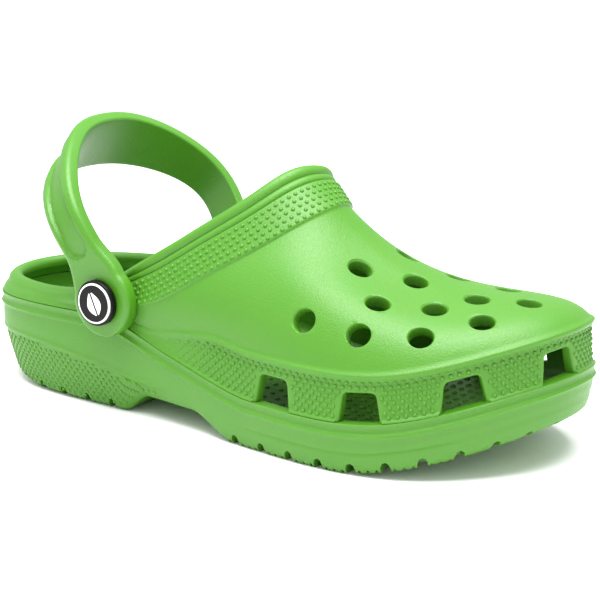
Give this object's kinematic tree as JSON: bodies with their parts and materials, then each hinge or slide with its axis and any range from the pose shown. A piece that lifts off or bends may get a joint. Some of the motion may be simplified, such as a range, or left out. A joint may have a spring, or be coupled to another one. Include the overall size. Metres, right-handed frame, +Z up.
{
  "type": "moulded foam garden clog",
  "caption": "Slip-on garden clog for the right foot: a moulded foam sole and vented upper with a heel strap that swings on snap rivets.",
  "frame": {"origin": "on the ground under the middle of the shoe's length and width", "axes": "+X to the toe, +Y to the inner (medial) side, +Z up"},
  "size_m": [0.2904, 0.1194, 0.1234],
  "materials": {
    "foam": "bright green closed-cell foam, satin, slightly grained",
    "rivet_plastic": "black moulded plastic, satin",
    "badge_plastic": "white ring printed round a black field, gloss"
  },
  "bodies": {
    "clog": {"sole": "foam", "upper": "foam"},
    "strap": {"heel_strap": "foam"},
    "rivet_lateral": {"rivet_head_lateral": "rivet_plastic", "rivet_back_lateral": "rivet_plastic", "badge_lateral": "badge_plastic"},
    "rivet_medial": {"rivet_head_medial": "rivet_plastic", "rivet_back_medial": "rivet_plastic", "badge_medial": "badge_plastic"}
  },
  "joints": [
    {"name": "strap_swing", "type": "hinge", "parent": "clog", "child": "strap", "pos_m": [-0.0526, 0, 0.0515], "axis": [0, 1, 0], "range_deg": [-41, 75]},
    {"name": "rivet_lateral_spin", "type": "hinge", "parent": "clog", "child": "rivet_lateral", "pos_m": [-0.0526, 0, 0.0515], "axis": [0, 1, 0], "continuous": true},
    {"name": "rivet_medial_spin", "type": "hinge", "parent": "clog", "child": "rivet_medial", "pos_m": [-0.0526, 0, 0.0515], "axis": [0, 1, 0], "continuous": true}
  ]
}
